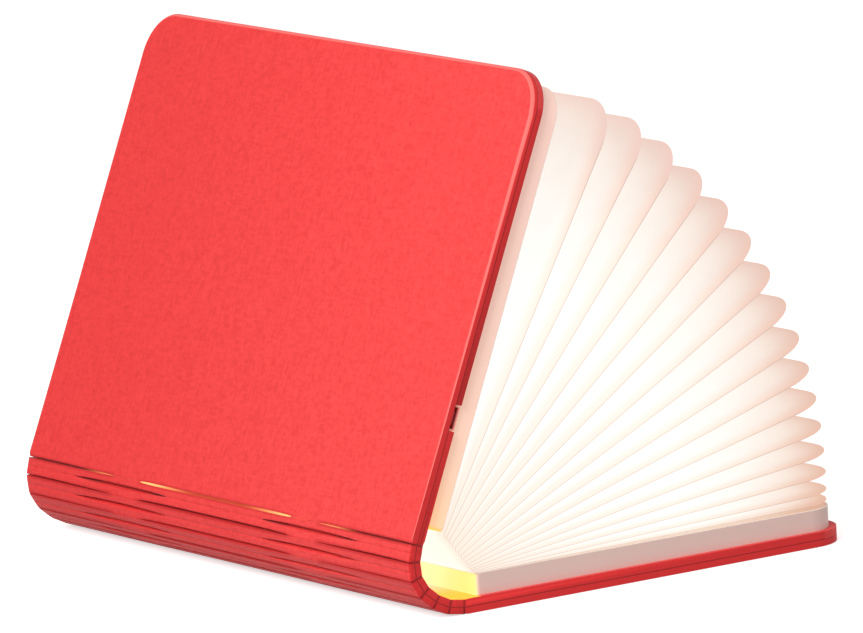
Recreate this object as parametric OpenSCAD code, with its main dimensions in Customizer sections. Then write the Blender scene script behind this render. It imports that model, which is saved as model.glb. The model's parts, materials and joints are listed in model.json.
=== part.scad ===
// Folding book lamp: two fabric-covered boards joined by a kerf-cut spine of slats.
// A shallow tray sits inside each cover, sixteen translucent pages fan out between
// the trays, and an LED strip on the middle of the spine lights them from the hub.
// X runs across the back cover from spine to fore edge, Y along the spine from tail
// (the charging edge) to head, Z up. The origin is the middle of the back cover's underside.

/* [Covers] */
// Length of covers and spine, tail to head
cover_h = 215; // [190:1:260]
// Width of a cover, from its fold line to its fore edge
cover_w = 148; // [135:1:180]
// Thickness of the fabric-covered outer board
skin_t = 2.2; // [1.8:0.1:2.6]
// Thickness of the inner board laminated to it
board_t = 2.4; // [2.2:0.1:2.6]
// Radius of the two fore-edge corners
corner_r = 14; // [10:1:24]
// Angle between the two covers as the lamp stands
open_angle = 67.5; // [50:0.5:100]

/* [Spine] */
// Distance between neighbouring fold lines
slat_pitch = 5.3; // [5.2:0.1:6.5]
// Width of the slots on the fold lines
kerf_w = 1.4; // [1.2:0.1:1.6]
// Radius of the slats' long edges on the outside of the spine
slat_round = 0.5; // [0.4:0.1:1.2]
// Radius of the slats' long edges on the inside, which close up when the book shuts
slat_round_in = 1.2; // [0.9:0.1:1.4]
// Width of the slots along the middle of each slat
mid_kerf_w = 1.1; // [0.8:0.1:1.3]
// Length of each middle slot
mid_kerf_len = 53; // [40:1:60]
// Distance of the middle slots' centres from the middle of the spine
mid_kerf_offset = 53; // [40:1:60]
// Length of the bridges that join one slat to the next
bridge_len = 15; // [10:1:20]
// Distance of the bridges' centres from the middle of the spine
bridge_offset = 50; // [42:1:60]
// Room between two bridge knuckles
bridge_gap = 0.5; // [0.4:0.05:0.6]

/* [Trays] */
// Height of a tray with its lid
tray_h = 6.6; // [6.6:0.1:8]
// Thickness of the lid
lid_t = 1.4; // [0.8:0.1:1.4]
// Thickness of the tray's side walls
tray_wall = 1.2; // [1:0.1:1.6]
// Thickness of the tray's floor
tray_floor = 1.2; // [0.8:0.1:1.2]
// Distance from the fold line to the tray's spine side
tray_setback = 6; // [5:0.5:10]
// Distance from the cover's head and tail edges to the tray
tray_inset = 2; // [1.5:0.5:4]
// Distance from the cover's fore edge to the tray
tray_fore_inset = 3; // [2:0.5:6]
// Radius of the tray's corners at the spine
tray_corner_r = 1.5; // [0.5:0.5:3]

/* [Lid screws] */
// Radius of the screw's thread
screw_r = 0.95; // [0.8:0.05:1]
// Length of the screw under its head
screw_len = 4; // [3:0.5:4.5]
// Radius of the countersunk head
screw_head_r = 1.8; // [1.5:0.1:2]
// Height of the countersunk head
screw_head_h = 0.7; // [0.4:0.1:0.8]
// Radius of the posts that take the screws
post_r = 2.8; // [2.4:0.1:3.5]
// Distance of the posts' centres from the tray's outside
post_inset = 10; // [8:0.5:14]

/* [Magnets] */
// Radius of the four holding magnets
magnet_r = 4; // [3:0.5:5]
// Thickness of the holding magnets
magnet_t = 1.8; // [1.5:0.1:1.9]
// Distance of the magnets' centres from the fore edge and from head and tail
magnet_inset = 22; // [18:1:30]
// Radius of the small magnet that works the switch
switch_magnet_r = 2.5; // [2:0.5:3]

/* [Pages] */
// Number of pages
page_count = 16; // [10:1:16]
// Thickness of a page
page_t = 0.13; // [0.1:0.01:0.14]
// Thickness of the endpapers on the lids
endpaper_t = 0.15; // [0.1:0.01:0.2]
// Distance from the cover's head and tail edges to the pages
page_inset = 2; // [1.5:0.5:5]
// Distance from the cover's fore edge to the outermost pages' fore edge
page_fore_inset = 1.5; // [1:0.5:5]
// How much further the middle pages reach than the outermost ones
page_crown = 5; // [0:0.5:6]
// Outward shift of the middle pages as the lamp opens to its rest angle
page_lift = 2; // [0:0.1:2.5]
// Radius of the pages' fore-edge corners
page_corner_r = 15; // [8:1:20]
// Distance that the page roots stand out of the tray's spine side
page_root_out = 0.1; // [0.1:0.1:1]
// How far a page's root fold drops towards the page behind it
root_fold_drop = 1.1; // [0.6:0.1:1.3]
// How far a page's root fold runs back towards the spine
root_fold_back = 0.6; // [0.4:0.1:1]

/* [Light] */
// Width of the LED strip
strip_w = 4.4; // [4:0.1:4.6]
// Length of the LED strip
strip_len = 200; // [160:1:200]
// Thickness of the strip's circuit board
strip_t = 0.8; // [0.5:0.1:1]
// Number of LEDs on the strip
led_count = 20; // [10:1:24]
// Side of an LED package
led_w = 2.8; // [2:0.1:3]
// Height of an LED package
led_t = 0.7; // [0.5:0.1:0.9]
// Height of the diffuser over the strip
diffuser_h = 2.6; // [2:0.1:3]
// Wall of the diffuser
diffuser_wall = 0.5; // [0.4:0.1:0.7]

/* [Power] */
// Distance of the charging socket from the front cover's fold line
usb_x = 40; // [32:1:60]
// Width of the charging socket
usb_w = 7.4; // [6:0.1:8]
// Height of the charging socket
usb_h = 2.2; // [1.8:0.1:2.2]
// Depth of the charging socket
usb_d = 5.6; // [5:0.1:7]
// Width of the notch in the cover's edge, beyond the socket's own
notch_extra = 0.8; // [0.4:0.1:2]
// Distance of the socket's mouth from the cover's edge
usb_recess = 0.9; // [0.5:0.1:1.5]
// Length of the charging board across the cover
pcb_len = 34; // [28:1:40]
// Width of the charging board along the spine
pcb_w = 20; // [16:1:26]
// Thickness of the charging board
pcb_t = 1; // [0.8:0.1:1.2]
// Length of the battery across the cover
battery_len = 60; // [40:1:70]
// Width of the battery along the spine
battery_w = 40; // [30:1:60]
// Thickness of the battery
battery_t = 3.8; // [3:0.1:3.9]
// Gap between battery and charging board
battery_gap = 8; // [5:1:12]
// Width of the flat ribbon that feeds the strip
ribbon_w = 6.5; // [4:0.5:8]
// Thickness of the ribbon
ribbon_t = 0.15; // [0.1:0.01:0.2]

/* [Hidden] */
$fn = 48;

red = [0.86, 0.16, 0.16];
dark_red = [0.66, 0.10, 0.11];
cover_t = skin_t + board_t;
face_z = cover_t / 2;               // a cover's inner face, from its mid plane
seam_z = -face_z + skin_t;          // the joint between outer and inner board
slat_count = 6;
fold_count = slat_count + 1;
folded_turns = [8.5, 17.5, 14, 19, 25.5, 20, 8];   // how the bend spreads over the folds
turn_total = folded_turns * [1, 1, 1, 1, 1, 1, 1];
fit = 0.3;                          // running clearance of loose pieces
tiny = 0.01;

// Bend at fold i as the lamp stands, and with the book shut
function turn(i) = folded_turns[i - 1] * (180 - open_angle) / turn_total;
function shut_turn(i) = turn(i) + open_angle / fold_count;
// Direction of link i from the X axis: link 0 is the back cover, the last the front cover
function heading(i, shut) =
    i == 0 ? 180 : heading(i - 1, shut) - (shut ? shut_turn(i) : turn(i));
// Place of fold line i in X and Z
function fold(i, shut = false) =
    i == 1 ? [-cover_w / 2, face_z]
           : fold(i - 1, shut) + slat_pitch * [cos(heading(i - 1, shut)), sin(heading(i - 1, shut))];

// Page k lies at a share of the opening angle; the shares crowd towards the back cover
share_low = 0.008;
share_high = 0.88;
share_power = 1.43;
function page_rank(k) = (page_count - k) / (page_count - 1);
function page_share(k) = share_low + (share_high - share_low) * pow(page_rank(k), share_power);
function page_bell(k) = 4 * page_share(k) * (1 - page_share(k));
// The link that page k follows, and the fold it turns about
function page_link(k) = floor(page_share(k) * fold_count);
shut_gap = fold(fold_count, true)[1] - fold(1, true)[1] - cover_t - 2 * tray_h - 2 * endpaper_t;
page_step = shut_gap / page_count;
stack_z = face_z + tray_h + endpaper_t;            // where the shut stack of pages starts
function page_shut_z(k) = cover_t / 2 + stack_z + (page_count - k + 0.5) * page_step;
// The shut covers lie a little out of line, and the stack leans with them
shut_lean = fold(fold_count, true)[0] - fold(1, true)[0];
function page_shut_x(k) = shut_lean * (page_count - k + 0.5) / page_count;
// Root folds shrink towards the back cover, where the pages lie closer
function root_fold_size(k) = min(1, 2 * page_rank(k));

tray_len = cover_h - 2 * tray_inset;
tray_end = cover_w - tray_fore_inset;
tray_fore_r = corner_r - tray_fore_inset;
lid_z = face_z + tray_h - lid_t;
floor_z = face_z + tray_floor;
tail = -cover_h / 2;
post_places = [for (x = [tray_setback + post_inset, tray_end - post_inset])
               for (s = [-1, 1]) [x, s * (tray_len / 2 - post_inset)]];
usb_y = tail + usb_recess;
pcb_y = tail + tray_inset + tray_wall + fit;
pcb_x = usb_x - pcb_len / 2;
battery_y = pcb_y + pcb_w + battery_gap;
plug_size = [5, 4, 3];                              // battery plug on the board
plug_at = [usb_x + 6, pcb_y + pcb_w - plug_size[1] - 1];
ribbon_y = tail + tray_inset + post_inset + post_r + fit;
ribbon_slat_w = slat_pitch - kerf_w - 1.4;
sensor_size = [3, 3, 1];
sensor_at = [pcb_x + 1.5, pcb_y + pcb_w - sensor_size[1] - 1.5];

// ---- outlines and frames ----

// A bar of section w by t, seen end on, with long edges of radius r above and low below
module bar_section(w, t, r, low) {
    for (side = [[1, r], [-1, low]]) hull() {
        square([w, 0.01], center = true);
        for (x = [-1, 1]) translate([x * (w / 2 - side[1]), side[0] * (t / 2 - side[1])])
            circle(side[1]);
    }
}

// A cover's section: square at the fore edge, and where it meets the fold rounded by r
// outside and by inner inside
module cover_section(gap, r, inner) {
    hull() {
        translate([gap / 2 + inner, -face_z]) square([cover_w - gap / 2 - inner, cover_t]);
        for (side = [[-1, r], [1, inner]])
            translate([gap / 2 + side[1], side[0] * (face_z - side[1])]) circle(side[1]);
    }
}

// Runs a section along the spine from y0 to y1
module along(y0, y1) {
    translate([0, y1, 0]) rotate([90, 0, 0]) linear_extrude(y1 - y0) children();
}

// A flat panel from x0 to x1, h long, with corner radii at the spine and fore edge
module panel(x0, x1, h, spine_r, fore_r) {
    difference() {
        translate([x0, -h / 2]) square([x1 - x0, h]);
        for (s = [-1, 1]) {
            corner(x1, s * h / 2, fore_r, 1, s);
            if (spine_r > 0) corner(x0, s * h / 2, spine_r, -1, s);
        }
    }
}

// What a corner loses when it is rounded
module corner(x, y, r, sx, sy) {
    difference() {
        translate([x - sx * r / 2 + sx / 2, y - sy * r / 2 + sy / 2])
            square([r + 1, r + 1], center = true);
        translate([x - sx * r, y - sy * r]) circle(r, $fn = 96);
    }
}

// Frames: X from the fold to the fore edge, Z from the cover's mid plane to the pages
module back_half() translate([fold(1)[0], 0, fold(1)[1]]) children();
module front_half()
    translate([fold(fold_count)[0], 0, fold(fold_count)[1]])
        rotate([0, -open_angle, 0]) mirror([0, 0, 1]) children();

// Frame of slat i: X along the chain, Z outwards, origin in the slat's middle
module on_slat(i) {
    middle = (fold(i) + fold(i + 1)) / 2;
    translate([middle[0], 0, middle[1]]) rotate([0, -heading(i, false), 0]) children();
}

knuckle_r = min(cover_t, slat_pitch - bridge_gap) / 2;

// ---- covers ----

module cover_blank() {
    along(tail, -tail) cover_section(kerf_w, slat_round, slat_round_in);
    for (s = [-1, 1])
        along(s * bridge_offset - bridge_len / 2, s * bridge_offset + bridge_len / 2)
            cover_section(bridge_gap, knuckle_r, knuckle_r);
}

module cover_layer(z0, z1) {
    intersection() {
        cover_blank();
        translate([0, 0, z0]) linear_extrude(z1 - z0) panel(0, cover_w, cover_h, 0, corner_r);
    }
}

module outer_board() color(red) cover_layer(-face_z, seam_z);

module magnet_places()
    for (s = [-1, 1])
        translate([cover_w - magnet_inset, s * (cover_h / 2 - magnet_inset), face_z - magnet_t])
            children();

module switch_place()
    translate([sensor_at[0] + sensor_size[0] / 2, sensor_at[1] + sensor_size[1] / 2,
               face_z - magnet_t]) children();

module inner_board() {
    color(dark_red) difference() {
        cover_layer(seam_z, face_z);
        magnet_places() translate([0, 0, -0.1]) cylinder(magnet_t + 1, r = magnet_r + 0.1);
        children();
    }
}

module holding_magnets() color("silver") magnet_places() cylinder(magnet_t, r = magnet_r);

// ---- trays ----

module tray_outline(inset = 0)
    panel(tray_setback + inset, tray_end - inset, tray_len - 2 * inset,
          max(tray_corner_r - inset, 0.2), tray_fore_r - inset);

module tray() {
    color([0.96, 0.94, 0.90]) difference() {
        union() {
            difference() {
                translate([0, 0, face_z]) linear_extrude(tray_h - lid_t) tray_outline();
                translate([0, 0, floor_z]) linear_extrude(tray_h) tray_outline(tray_wall);
            }
            for (p = post_places)
                translate([p[0], p[1], face_z]) cylinder(tray_h - lid_t, r = post_r);
        }
        for (p = post_places)
            translate([p[0], p[1], lid_z - screw_len]) cylinder(screw_len + 1, r = screw_r + 0.05);
        children();
    }
}

module lid() {
    color([0.97, 0.95, 0.91]) difference() {
        translate([0, 0, lid_z]) linear_extrude(lid_t) tray_outline();
        for (p = post_places) translate([p[0], p[1], lid_z]) {
            translate([0, 0, -1]) cylinder(lid_t + 2, r = screw_r + 0.1);
            translate([0, 0, lid_t - screw_head_h])
                cylinder(screw_head_h + tiny, r1 = screw_r + 0.1, r2 = screw_head_r + 0.1);
        }
    }
}

module lid_screws() {
    color("gainsboro") for (p = post_places) translate([p[0], p[1], lid_z + lid_t]) {
        translate([0, 0, -lid_t - screw_len + 0.2]) cylinder(lid_t + screw_len - 0.25, r = screw_r);
        translate([0, 0, -screw_head_h])
            cylinder(screw_head_h - 0.05, r1 = screw_r, r2 = screw_head_r);
    }
}

module endpaper()
    color("ivory") translate([0, 0, face_z + tray_h]) linear_extrude(endpaper_t) tray_outline();

// ---- the two halves ----

module back_outer_board() back_half() outer_board();
module back_inner_board()
    back_half() inner_board()
        switch_place() translate([0, 0, -0.1]) cylinder(magnet_t + 1, r = switch_magnet_r + 0.1);
module back_tray() back_half() tray();
module back_lid() back_half() lid();
module back_lid_screws() back_half() lid_screws();
module back_magnets() back_half() holding_magnets();
module back_endpaper() back_half() endpaper();
module switch_magnet()
    back_half() color("silver") switch_place() cylinder(magnet_t, r = switch_magnet_r);

module front_outer_board() front_half() outer_board();
module front_inner_board()
    front_half() inner_board()
        translate([usb_x - (usb_w + notch_extra) / 2, tail - 1, seam_z - 1])
            cube([usb_w + notch_extra, 1 + usb_recess + usb_d + fit, cover_t]);
module front_tray()
    front_half() tray() {
        translate([pcb_x - fit, pcb_y, face_z - 1])
            cube([pcb_len + 2 * fit, pcb_w + fit, tray_floor + 1 + tiny]);
        translate([tray_setback - 1, ribbon_y - 0.2, floor_z])
            cube([tray_wall + 2, ribbon_w + 0.4, 4 * ribbon_t]);
    }
module front_lid() front_half() lid();
module front_lid_screws() front_half() lid_screws();
module front_magnets() front_half() holding_magnets();
module front_endpaper() front_half() endpaper();

// ---- charging board, socket and battery, inside the front tray ----

module charging_board()
    front_half() color("seagreen") translate([pcb_x, pcb_y + fit / 2, face_z])
        cube([pcb_len, pcb_w - fit / 2, pcb_t]);

// Charging chip, coil, capacitors and the battery's plug
module board_parts()
    front_half() color([0.15, 0.15, 0.16]) translate([0, 0, face_z + pcb_t]) {
        translate([usb_x - 9, pcb_y + 5, 0]) cube([4, 4, 0.9]);
        translate([usb_x, pcb_y + 9, 0]) cylinder(1.8, r = 2);
        for (i = [0:3]) translate([usb_x - 4 + 3 * i, pcb_y + 3, 0]) cube([1.2, 2, 0.8]);
        translate([plug_at[0], plug_at[1], 0]) cube(plug_size);
    }

module hall_sensor()
    front_half() color([0.12, 0.12, 0.13])
        translate([sensor_at[0], sensor_at[1], face_z + pcb_t]) cube(sensor_size);

module usb_shell() {
    wall = 0.3;
    front_half() color("silver") translate([usb_x - usb_w / 2, usb_y, face_z - usb_h])
        difference() {
            cube([usb_w, usb_d, usb_h]);
            translate([wall, -1, wall]) cube([usb_w - 2 * wall, usb_d - wall + 1, usb_h - 2 * wall]);
        }
}

module usb_tongue() {
    tongue = [usb_w - 3.4, usb_d - 1.1, 0.6];
    front_half() color([0.1, 0.1, 0.1])
        translate([usb_x - tongue[0] / 2, usb_y + 0.8, face_z - usb_h / 2 - tongue[2] / 2]) cube(tongue);
}

module battery_cell()
    front_half() color([0.75, 0.77, 0.80]) translate([usb_x - pcb_len / 2, battery_y, floor_z])
        cube([battery_len, battery_w, battery_t]);

module battery_leads() {
    lead_r = 0.6;
    y0 = plug_at[1] + plug_size[1];
    front_half() for (i = [0, 1])
        color(i == 0 ? "red" : "black")
            translate([plug_at[0] + 1.5 + 2 * i, y0, face_z + pcb_t + plug_size[2] / 2])
                rotate([-90, 0, 0]) cylinder(battery_y - y0, r = lead_r);
}

// ---- the ribbon and the light ----

// Ribbon from the charging board, through the tray's wall and down to the board's face
module ribbon_in_tray() {
    outside = kerf_w / 2 + slat_round_in / 2;
    front_half() color([0.85, 0.6, 0.2]) translate([0, ribbon_y, 0]) {
        translate([tray_setback - ribbon_t, 0, floor_z])
            cube([pcb_x - fit - tray_setback + ribbon_t, ribbon_w, ribbon_t]);
        translate([tray_setback - ribbon_t, 0, face_z])
            cube([ribbon_t, ribbon_w, tray_floor + ribbon_t]);
        translate([outside, 0, face_z]) cube([tray_setback - outside, ribbon_w, ribbon_t]);
    }
}

module ribbon_on_slat(i)
    color([0.85, 0.6, 0.2]) on_slat(i)
        translate([-ribbon_slat_w / 2, ribbon_y, -face_z - ribbon_t])
            cube([ribbon_slat_w, ribbon_w, ribbon_t]);
module ribbon_on_slat_6() ribbon_on_slat(6);
module ribbon_on_slat_5() ribbon_on_slat(5);

light_slat = 4;

module led_strip_board()
    on_slat(light_slat) color("white")
        translate([-strip_w / 2, -strip_len / 2, -face_z - strip_t]) cube([strip_w, strip_len, strip_t]);

module led_packages() {
    step = (strip_len - 10) / (led_count - 1);
    on_slat(light_slat) color("gold") for (i = [0:led_count - 1])
        translate([-led_w / 2, (i - (led_count - 1) / 2) * step - led_w / 2, -face_z - strip_t - led_t])
            cube([led_w, led_w, led_t]);
}

// A translucent channel over the strip, rounded towards the pages
module led_diffuser() {
    edge = 1.2;
    on_slat(light_slat) color([1, 0.97, 0.88]) translate([0, 0, -face_z - strip_t])
        along(-strip_len / 2, strip_len / 2) difference() {
            intersection() {
                bar_section(strip_w, 2 * diffuser_h, edge, edge);
                translate([-strip_w, -diffuser_h]) square([2 * strip_w, diffuser_h]);
            }
            bar_section(strip_w - 2 * diffuser_wall, 2 * (diffuser_h - diffuser_wall),
                        edge - diffuser_wall, edge - diffuser_wall);
        }
}

// ---- spine slats ----

module spine_slat(i) {
    color(i % 2 == 0 ? red : dark_red) on_slat(i) difference() {
        union() {
            along(tail, -tail) bar_section(slat_pitch - kerf_w, cover_t, slat_round, slat_round_in);
            for (s = [-1, 1])
                along(s * bridge_offset - bridge_len / 2, s * bridge_offset + bridge_len / 2)
                    bar_section(slat_pitch - bridge_gap, cover_t, knuckle_r, knuckle_r);
        }
        for (s = [-1, 1]) translate([0, s * mid_kerf_offset, -cover_t]) linear_extrude(2 * cover_t) {
            square([mid_kerf_w, mid_kerf_len - mid_kerf_w], center = true);
            for (e = [-1, 1])
                translate([0, e * (mid_kerf_len - mid_kerf_w) / 2]) circle(mid_kerf_w / 2);
        }
    }
}

module spine_slat_1() spine_slat(1);
module spine_slat_2() spine_slat(2);
module spine_slat_3() spine_slat(3);
module spine_slat_4() spine_slat(4);
module spine_slat_5() spine_slat(5);
module spine_slat_6() spine_slat(6);

// ---- pages ----

// Page k, drawn as it lies in the shut book and swung out about its fold
module page(k) {
    pivot = page_link(k) + 1;
    shut = fold(pivot, true);
    open = fold(pivot);
    angle = page_share(k) * open_angle;
    lift = page_lift * page_bell(k) * [cos(angle), sin(angle)];
    root = -cover_w / 2 + tray_setback - page_root_out;
    tip = cover_w / 2 - page_fore_inset + page_crown * page_bell(k);
    page_h = cover_h - 2 * page_inset;
    color([1, 0.97, 0.9])
        translate([open[0] + lift[0], 0, open[1] + lift[1]]) rotate([0, -angle, 0])
            translate([page_shut_x(k) - shut[0], 0, page_shut_z(k) - shut[1]]) {
                translate([0, 0, -page_t / 2]) linear_extrude(page_t)
                    panel(root, tip, page_h, 0, page_corner_r);
                if (root_fold_size(k) > 0) along(-page_h / 2, page_h / 2)
                    root_fold_section(root, root_fold_size(k));
            }
}

// The fold at a page's root, which leans so that the folds nest when the book is shut
module root_fold_section(root, size) {
    half_t = page_t / 2;
    back = root - size * root_fold_back;
    drop = size * root_fold_drop;
    polygon([[root, -half_t], [root, half_t], [back, half_t - drop], [back, -half_t - drop]]);
}

back_outer_board();
back_inner_board();
back_tray();
back_lid();
back_lid_screws();
back_magnets();
switch_magnet();
back_endpaper();
front_outer_board();
front_inner_board();
front_tray();
front_lid();
front_lid_screws();
front_magnets();
front_endpaper();
charging_board();
board_parts();
hall_sensor();
usb_shell();
usb_tongue();
battery_cell();
battery_leads();
ribbon_in_tray();
ribbon_on_slat_6();
ribbon_on_slat_5();
led_strip_board();
led_packages();
led_diffuser();
spine_slat_1();
spine_slat_2();
spine_slat_3();
spine_slat_4();
spine_slat_5();
spine_slat_6();
page(1);  // page_01
page(2);  // page_02
page(3);  // page_03
page(4);  // page_04
page(5);  // page_05
page(6);  // page_06
page(7);  // page_07
page(8);  // page_08
page(9);  // page_09
page(10);  // page_10
page(11);  // page_11
page(12);  // page_12
page(13);  // page_13
page(14);  // page_14
page(15);  // page_15
page(16);  // page_16
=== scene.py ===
import json
from math import atan2, cos, pi, radians, sin, sqrt, tan

import bmesh
import bpy
from bpy.props import FloatProperty, FloatVectorProperty
from mathutils import Matrix, Vector

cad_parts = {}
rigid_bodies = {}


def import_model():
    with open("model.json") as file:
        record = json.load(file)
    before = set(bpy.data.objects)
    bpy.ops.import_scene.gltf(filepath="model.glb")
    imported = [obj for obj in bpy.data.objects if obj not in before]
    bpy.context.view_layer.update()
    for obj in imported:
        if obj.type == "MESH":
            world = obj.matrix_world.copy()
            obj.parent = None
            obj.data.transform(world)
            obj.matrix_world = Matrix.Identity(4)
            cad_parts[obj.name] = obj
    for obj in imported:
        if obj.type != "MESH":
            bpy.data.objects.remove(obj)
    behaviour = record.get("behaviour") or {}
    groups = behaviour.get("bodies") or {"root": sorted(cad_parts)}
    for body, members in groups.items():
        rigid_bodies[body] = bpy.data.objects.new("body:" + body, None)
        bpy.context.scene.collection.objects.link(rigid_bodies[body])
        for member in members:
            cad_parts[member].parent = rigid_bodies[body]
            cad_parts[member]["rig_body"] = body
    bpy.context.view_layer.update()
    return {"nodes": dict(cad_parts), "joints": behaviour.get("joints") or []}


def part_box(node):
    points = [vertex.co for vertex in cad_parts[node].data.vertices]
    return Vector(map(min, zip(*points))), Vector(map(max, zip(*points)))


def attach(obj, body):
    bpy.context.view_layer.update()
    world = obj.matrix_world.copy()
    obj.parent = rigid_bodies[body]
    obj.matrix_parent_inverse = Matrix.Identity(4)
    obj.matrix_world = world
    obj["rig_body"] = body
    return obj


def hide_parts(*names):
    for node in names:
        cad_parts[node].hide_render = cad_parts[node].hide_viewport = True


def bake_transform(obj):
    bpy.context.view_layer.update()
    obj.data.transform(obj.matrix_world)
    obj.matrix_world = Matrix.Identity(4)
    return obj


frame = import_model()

bl_info = {
    "name": "Folding book lamp",
    "version": (1, 0, 0),
    "blender": (4, 5, 0),
    "location": "View3D > Sidebar > Book Lamp",
    "description": "Dresses a folding book lamp: cloth covers, slatted spine, glowing pages",
    "category": "Object",
}

MM = 0.001
WHITE = (1, 1, 1, 1)
PAGES = ["page_%02d" % k for k in range(1, 17)]
SLATS = ["spine_slat_%d" % i for i in range(1, 7)]


# ---- places on the chain of fold lines, read from the joints ----

def fold_line(i):
    """X and Z of fold line i, in metres."""
    for joint in frame["joints"]:
        if joint["name"] == "fold_%d" % i:
            return Vector((joint["pos_m"][0], 0.0, joint["pos_m"][2]))
    raise RuntimeError("no joint fold_%d" % i)


FOLDS = [fold_line(i) for i in range(1, 8)]
HALF_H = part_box("back_outer_board")[1][1]
COVER_T = 2 * FOLDS[0].z
OPEN_ANGLE = 67.5

# Along the spine, measured from its middle: where the long slit ends, the bridge's middle
# and where the slit goes on
SLIT_END, BRIDGE_MIDDLE, SLIT_START = 0.0425, 0.050, 0.0575
SLAT_SLIT_MIDDLE, SLAT_SLIT_HALF = 0.053, 0.0265     # a slat's slits: place, half length
SLAT_GAP = 0.0007            # from a fold line to the slats' long edges
BOARD_OUT, BOARD_IN = 0.00118, 0.00188   # reach of a fold's board outside and inside
LINING_DEPTH = -0.00205      # below a board's mid plane its surface is lit by the lamp
SPINE_SIDE = 0.004           # a board's edges this close to its fold line stay square
INNER_ROUNDING = 0.0005      # rounding of the inner boards' edges
SOCKET_MOUTH = -0.1066       # Y of the charging socket's mouth
REST_PLACE = "rest"          # attribute with each vertex's place before a piece bends


def link_frame(i):
    """Matrix of link i: X along the chain, Y along the spine, Z outwards."""
    if i == 0:
        start, along = FOLDS[0], Vector((-1, 0, 0))
    elif i == 7:
        start = FOLDS[6]
        along = Vector((cos(radians(OPEN_ANGLE)), 0, sin(radians(OPEN_ANGLE))))
    else:
        start = (FOLDS[i - 1] + FOLDS[i]) / 2
        along = (FOLDS[i] - FOLDS[i - 1]).normalized()
    up = Vector((0, 1, 0))
    out = along.cross(up)
    m = Matrix((along, up, out)).transposed().to_4x4()
    m.translation = start
    return m


# ---- mesh helpers ----

def new_object(name, mesh_builder):
    bm = bmesh.new()
    mesh_builder(bm)
    mesh = bpy.data.meshes.new(name)
    bm.to_mesh(mesh)
    bm.free()
    obj = bpy.data.objects.new(name, mesh)
    bpy.context.scene.collection.objects.link(obj)
    return obj


def shade(obj, angle=35.0):
    """Smooth shading, with edges sharper than the angle kept crisp."""
    mesh = obj.data
    mesh.polygons.foreach_set("use_smooth", [True] * len(mesh.polygons))
    mesh.set_sharp_from_angle(angle=radians(angle))
    return obj


def merged_copy(bm, node):
    """The node's mesh with its loose triangles joined into clean faces."""
    bm.from_mesh(frame["nodes"][node].data)
    bmesh.ops.remove_doubles(bm, verts=bm.verts, dist=1e-6)
    bmesh.ops.dissolve_limit(bm, angle_limit=radians(0.4), verts=bm.verts, edges=bm.edges,
                             delimit=set())


def outline_edges(bm, m, facing):
    """Edges round a board's face that looks along facing, but not those on the spine side."""
    start, along = m.translation, m.to_3x3().col[0]
    found = []
    for e in bm.edges:
        if len(e.link_faces) == 2 and any((v.co - start).dot(along) > SPINE_SIDE for v in e.verts):
            looks = [f.normal.dot(facing) for f in e.link_faces]
            if max(looks) > 0.98 and abs(min(looks)) < 0.5:
                found.append(e)
    return found


def rounded_copy(node, name, radius, m, facing, segments=4):
    """A copy of a board with the outline of one face rounded, standing for the node."""
    def build(bm):
        merged_copy(bm, node)
        bmesh.ops.bevel(bm, geom=outline_edges(bm, m, facing), offset=radius,
                        offset_type='OFFSET', affect='EDGES', segments=segments, profile=0.5,
                        material=-1, clamp_overlap=False, loop_slide=True)
    obj = shade(new_object(name, build))
    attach(obj, frame["nodes"][node]["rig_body"])
    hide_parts(node)
    return obj


def paint(obj, material):
    obj.data.materials.clear()
    obj.data.materials.append(material)
    return obj


def paint_node(node, material):
    obj = frame["nodes"][node]
    for item in obj.material_slots:
        item.material = material
    if not obj.material_slots:
        obj.data.materials.append(material)
    return obj


# ---- material helpers ----

class Nodes:
    """A short way to lay out the shader tree of a material, or of a world."""

    def __init__(self, name, world=None):
        self.material = (world or bpy.data.materials.get(name)
                         or bpy.data.materials.new(name))
        self.material.use_nodes = True
        self.tree = self.material.node_tree
        self.tree.nodes.clear()
        self.out = self.add("ShaderNodeOutputWorld" if world else "ShaderNodeOutputMaterial")

    def add(self, kind, values=None, **settings):
        node = self.tree.nodes.new(kind)
        for key, value in settings.items():
            setattr(node, key, value)
        for key, value in (values or {}).items():
            if isinstance(value, bpy.types.NodeSocket):
                self.tree.links.new(value, node.inputs[key])
            else:
                node.inputs[key].default_value = value
        return node

    def math(self, operation, a, b=0.0, clamp=False):
        return self.add("ShaderNodeMath", {0: a, 1: b}, operation=operation,
                        use_clamp=clamp).outputs[0]

    def ramp(self, value, stops):
        node = self.add("ShaderNodeValToRGB", {"Fac": value})
        elements = node.color_ramp.elements
        while len(elements) < len(stops):
            elements.new(0.5)
        for element, (place, colour) in zip(elements, stops):
            element.position = place
            element.color = tuple(colour) + (1.0,)
        return node.outputs["Color"]

    def mix(self, factor, a, b, blend='MIX'):
        node = self.add("ShaderNodeMix", data_type='RGBA', blend_type=blend)
        for key, value in ((0, factor), (6, a), (7, b)):
            if isinstance(value, bpy.types.NodeSocket):
                self.tree.links.new(value, node.inputs[key])
            elif key == 0:
                node.inputs[0].default_value = value
            else:
                node.inputs[key].default_value = tuple(value) + (1.0,)
        return node.outputs[2]

    def object_place(self, turn=0.0, origin=(0, 0, 0), rest=False):
        """Object coordinates, turned about Y so that X runs across a cover or slat. A piece
        that bends uses the places its vertices had at rest."""
        if rest:
            coords = self.add("ShaderNodeAttribute", attribute_name=REST_PLACE).outputs["Vector"]
        else:
            coords = self.add("ShaderNodeTexCoord").outputs["Object"]
        shifted = self.add("ShaderNodeMapping", {"Vector": coords,
                           "Location": tuple(-c for c in origin)}).outputs[0]
        return self.add("ShaderNodeMapping", {"Vector": shifted,
                        "Rotation": (0, turn, 0)}).outputs[0]

    def finish(self, shader):
        self.tree.links.new(shader, self.out.inputs["Surface"])
        return self.material


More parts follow.
